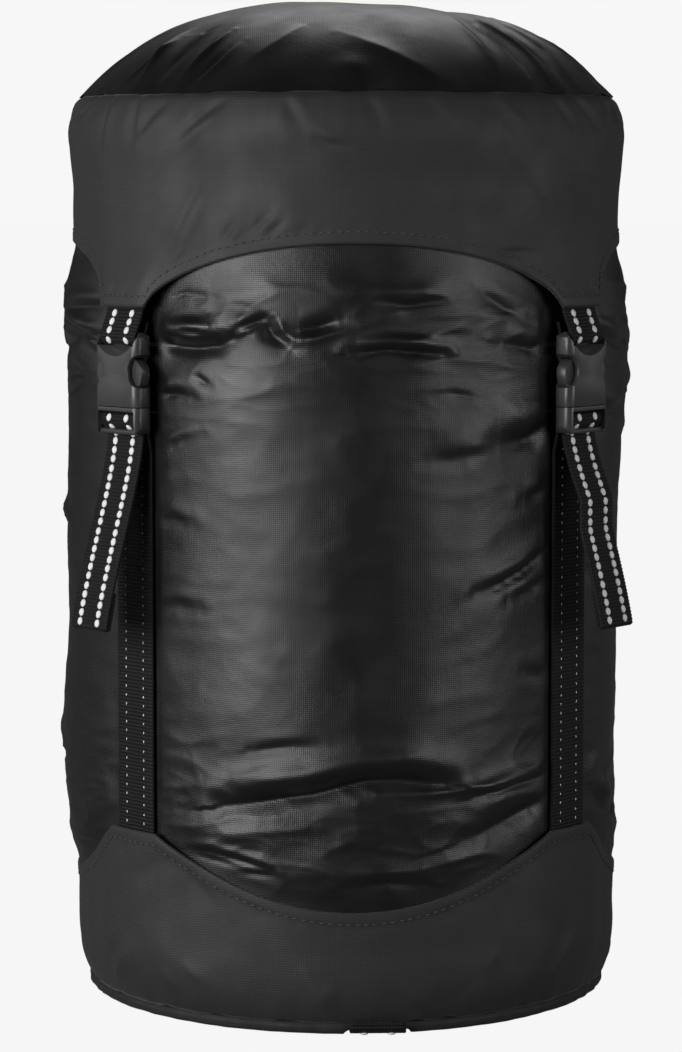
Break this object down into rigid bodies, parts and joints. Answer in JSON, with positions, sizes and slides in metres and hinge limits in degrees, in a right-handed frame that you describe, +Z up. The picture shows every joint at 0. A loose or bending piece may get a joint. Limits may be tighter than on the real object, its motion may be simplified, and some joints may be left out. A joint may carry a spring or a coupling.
{
  "type": "compression sack",
  "caption": "Round compression sack with a strapped lid: webbing straps with side-release buckles pull the lid down over a drawcord-closed body.",
  "frame": {"origin": "centre of the foot, on the surface the sack stands on", "axes": "+Z up along the sack, the side seen from the front faces -Y, +X to the right of it"},
  "size_m": [0.2096, 0.2096, 0.368],
  "materials": {
    "ripstop": "thin coated ripstop, glossy",
    "matt_nylon": "matt woven nylon",
    "seam_binding": "bound seam",
    "webbing": "flat woven webbing with white tracer threads",
    "buckle_plastic": "moulded acetal, satin",
    "cord": "braided cord",
    "lock_plastic": "moulded plastic, satin",
    "spring_steel": "drawn wire"
  },
  "bodies": {
    "sack": {"base_seam": "seam_binding", "base_panel": "ripstop", "base_cap": "matt_nylon", "base_handle": "webbing", "body_panel": "ripstop", "mouth_collar": "ripstop", "mouth_hem": "seam_binding", "drawcord": "cord", "drawcord_knot": "cord", "strap_front_left": "webbing", "strap_front_right": "webbing", "strap_back_left": "webbing", "strap_back_right": "webbing"},
    "cord_lock": {"cord_lock_body": "lock_plastic", "cord_lock_spring": "spring_steel"},
    "cord_button": {"cord_lock_button": "lock_plastic"},
    "lid": {"lid_skirt": "matt_nylon", "lid_crown": "ripstop", "loop_front_left": "webbing", "loop_front_right": "webbing", "loop_back_left": "webbing", "loop_back_right": "webbing", "female_front_left": "buckle_plastic", "female_front_right": "buckle_plastic", "female_back_left": "buckle_plastic", "female_back_right": "buckle_plastic"},
    "adjuster_front_left": {"male_front_left": "buckle_plastic", "tail_front_left": "webbing"},
    "tail_end_front_left": {"tail_end_front_left": "webbing"},
    "latch_r_front_left": {"arm_r_front_left": "buckle_plastic"},
    "latch_l_front_left": {"arm_l_front_left": "buckle_plastic"},
    "adjuster_front_right": {"male_front_right": "buckle_plastic", "tail_front_right": "webbing"},
    "tail_end_front_right": {"tail_end_front_right": "webbing"},
    "latch_r_front_right": {"arm_r_front_right": "buckle_plastic"},
    "latch_l_front_right": {"arm_l_front_right": "buckle_plastic"},
    "adjuster_back_left": {"male_back_left": "buckle_plastic", "tail_back_left": "webbing"},
    "tail_end_back_left": {"tail_end_back_left": "webbing"},
    "latch_r_back_left": {"arm_r_back_left": "buckle_plastic"},
    "latch_l_back_left": {"arm_l_back_left": "buckle_plastic"},
    "adjuster_back_right": {"male_back_right": "buckle_plastic", "tail_back_right": "webbing"},
    "tail_end_back_right": {"tail_end_back_right": "webbing"},
    "latch_r_back_right": {"arm_r_back_right": "buckle_plastic"},
    "latch_l_back_right": {"arm_l_back_right": "buckle_plastic"}
  },
  "joints": [
    {"name": "strap_tension_front_left", "type": "slide", "parent": "sack", "child": "adjuster_front_left", "axis": [0, 0, 1], "range_m": [-0.028, 0.036], "deforming": ["strap_front_left"]},
    {"name": "strap_tension_front_right", "type": "slide", "parent": "sack", "child": "adjuster_front_right", "axis": [0, 0, 1], "range_m": [-0.028, 0.036], "deforming": ["strap_front_right"]},
    {"name": "strap_tension_back_left", "type": "slide", "parent": "sack", "child": "adjuster_back_left", "axis": [0, 0, 1], "range_m": [-0.028, 0.036], "deforming": ["strap_back_left"]},
    {"name": "strap_tension_back_right", "type": "slide", "parent": "sack", "child": "adjuster_back_right", "axis": [0, 0, 1], "range_m": [-0.028, 0.036], "deforming": ["strap_back_right"]},
    {"name": "tail_draw_front_left", "type": "slide", "parent": "adjuster_front_left", "child": "tail_end_front_left", "axis": [0, 0, 1], "range_m": [-0.028, 0.036], "deforming": ["tail_front_left"]},
    {"name": "tail_draw_front_right", "type": "slide", "parent": "adjuster_front_right", "child": "tail_end_front_right", "axis": [0, 0, 1], "range_m": [-0.028, 0.036], "deforming": ["tail_front_right"]},
    {"name": "tail_draw_back_left", "type": "slide", "parent": "adjuster_back_left", "child": "tail_end_back_left", "axis": [0, 0, 1], "range_m": [-0.028, 0.036], "deforming": ["tail_back_left"]},
    {"name": "tail_draw_back_right", "type": "slide", "parent": "adjuster_back_right", "child": "tail_end_back_right", "axis": [0, 0, 1], "range_m": [-0.028, 0.036], "deforming": ["tail_back_right"]},
    {"name": "lid_lift", "type": "slide", "parent": "adjuster_front_left", "child": "lid", "axis": [0, 0, 1], "range_m": [0, 0.16], "deforming": ["arm_r_front_left", "arm_l_front_left", "arm_r_front_right", "arm_l_front_right", "arm_r_back_left", "arm_l_back_left", "arm_r_back_right", "arm_l_back_right"]},
    {"name": "latch_squeeze_r_front_left", "type": "hinge", "parent": "adjuster_front_left", "child": "latch_r_front_left", "pos_m": [-0.0767, -0.07506, 0.2236], "axis": [-0.766, -0.6428, 0], "range_deg": [0, 15], "stiffness_Nm_per_rad": 0.05},
    {"name": "latch_squeeze_l_front_left", "type": "hinge", "parent": "adjuster_front_left", "child": "latch_l_front_left", "pos_m": [-0.08724, -0.0625, 0.2236], "axis": [0.766, 0.6428, 0], "range_deg": [0, 15], "stiffness_Nm_per_rad": 0.05},
    {"name": "latch_squeeze_r_front_right", "type": "hinge", "parent": "adjuster_front_right", "child": "latch_r_front_right", "pos_m": [0.08724, -0.0625, 0.2236], "axis": [0.766, -0.6428, 0], "range_deg": [0, 15], "stiffness_Nm_per_rad": 0.05},
    {"name": "latch_squeeze_l_front_right", "type": "hinge", "parent": "adjuster_front_right", "child": "latch_l_front_right", "pos_m": [0.0767, -0.07506, 0.2236], "axis": [-0.766, 0.6428, 0], "range_deg": [0, 15], "stiffness_Nm_per_rad": 0.05},
    {"name": "latch_squeeze_r_back_left", "type": "hinge", "parent": "adjuster_back_left", "child": "latch_r_back_left", "pos_m": [-0.08724, 0.0625, 0.2236], "axis": [-0.766, 0.6428, 0], "range_deg": [0, 15], "stiffness_Nm_per_rad": 0.05},
    {"name": "latch_squeeze_l_back_left", "type": "hinge", "parent": "adjuster_back_left", "child": "latch_l_back_left", "pos_m": [-0.0767, 0.07506, 0.2236], "axis": [0.766, -0.6428, 0], "range_deg": [0, 15], "stiffness_Nm_per_rad": 0.05},
    {"name": "latch_squeeze_r_back_right", "type": "hinge", "parent": "adjuster_back_right", "child": "latch_r_back_right", "pos_m": [0.0767, 0.07506, 0.2236], "axis": [0.766, 0.6428, 0], "range_deg": [0, 15], "stiffness_Nm_per_rad": 0.05},
    {"name": "latch_squeeze_l_back_right", "type": "hinge", "parent": "adjuster_back_right", "child": "latch_l_back_right", "pos_m": [0.08724, 0.0625, 0.2236], "axis": [-0.766, -0.6428, 0], "range_deg": [0, 15], "stiffness_Nm_per_rad": 0.05},
    {"name": "cord_lock_slide", "type": "slide", "parent": "sack", "child": "cord_lock", "axis": [0, 1, 0], "range_m": [0, 0.012], "deforming": ["drawcord"]},
    {"name": "cord_button_press", "type": "slide", "parent": "cord_lock", "child": "cord_button", "axis": [-1, 0, 0], "range_m": [0, 0.0026], "stiffness_N_per_m": 300, "springref_m": -0.004, "deforming": ["cord_lock_spring"]}
  ],
  "couplings": [
    {"joint": "strap_tension_front_right", "follows": "strap_tension_front_left", "ratio": 1},
    {"joint": "strap_tension_back_left", "follows": "strap_tension_front_left", "ratio": 1},
    {"joint": "strap_tension_back_right", "follows": "strap_tension_front_left", "ratio": 1},
    {"joint": "tail_draw_front_left", "follows": "strap_tension_front_left", "ratio": 1},
    {"joint": "tail_draw_front_right", "follows": "strap_tension_front_left", "ratio": 1},
    {"joint": "tail_draw_back_left", "follows": "strap_tension_front_left", "ratio": 1},
    {"joint": "tail_draw_back_right", "follows": "strap_tension_front_left", "ratio": 1},
    {"joint": "latch_squeeze_l_front_left", "follows": "latch_squeeze_r_front_left", "ratio": 1},
    {"joint": "latch_squeeze_l_front_right", "follows": "latch_squeeze_r_front_right", "ratio": 1},
    {"joint": "latch_squeeze_l_back_left", "follows": "latch_squeeze_r_back_left", "ratio": 1},
    {"joint": "latch_squeeze_l_back_right", "follows": "latch_squeeze_r_back_right", "ratio": 1}
  ]
}
